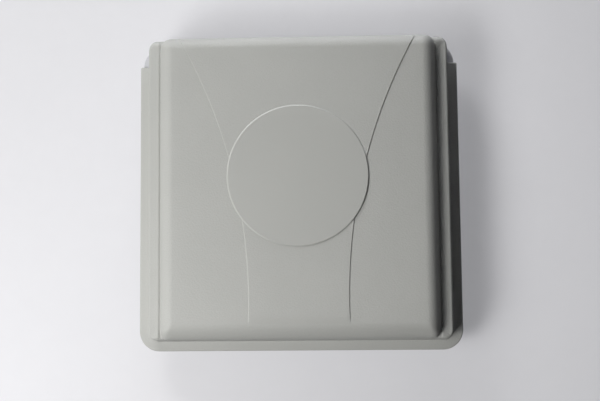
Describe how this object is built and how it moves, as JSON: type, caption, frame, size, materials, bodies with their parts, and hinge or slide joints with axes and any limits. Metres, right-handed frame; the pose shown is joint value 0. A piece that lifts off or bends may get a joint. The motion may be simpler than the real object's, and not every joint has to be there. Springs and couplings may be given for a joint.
{
  "type": "flat panel antenna",
  "caption": "Square flat panel antenna: grey moulded radome with a raised round disc over stacked patch radiators, on an aluminium back plate with mounting studs and a coaxial connector.",
  "frame": {"origin": "centre of the bounding box in plan, at the tips of the mounting studs on which the panel lies on its back", "axes": "+Z along the boresight, out of the radome face; +Y towards the panel's top edge, where the flange is missing; +X to the right as seen from the front"},
  "size_m": [0.32, 0.307, 0.0726],
  "materials": {
    "radome": "satin with a fine moulded grain",
    "plate": "brushed",
    "seal": "matt",
    "fastener": "stainless",
    "stud": "stainless",
    "patch": "rolled sheet",
    "nylon": "natural nylon",
    "brass": "machined",
    "solder": "tin",
    "nickel": "bright nickel plate",
    "insulator": "waxy white",
    "gold": "gold plate",
    "vent": "black nylon",
    "membrane": "white membrane"
  },
  "bodies": {
    "root": {"radome": "radome", "back_plate": "plate", "perimeter_gasket": "seal", "cover_screws": "fastener", "mounting_studs": "stud", "driven_patch": "patch", "director_patch": "patch", "lower_standoffs": "nylon", "upper_standoffs": "nylon", "plate_screws": "fastener", "director_screws": "nylon", "centre_post": "brass", "post_screw": "fastener", "feed_strip": "brass", "strip_supports": "insulator", "feed_probe": "brass", "solder_joints": "solder", "connector_body": "nickel", "connector_gasket": "seal", "connector_insulator": "insulator", "connector_contact": "gold", "connector_screws": "fastener", "ground_screw": "fastener", "ground_washer": "fastener", "ground_nut": "fastener", "vent_body": "vent", "vent_membrane": "membrane", "vent_nut": "vent"}
  },
  "joints": []
}
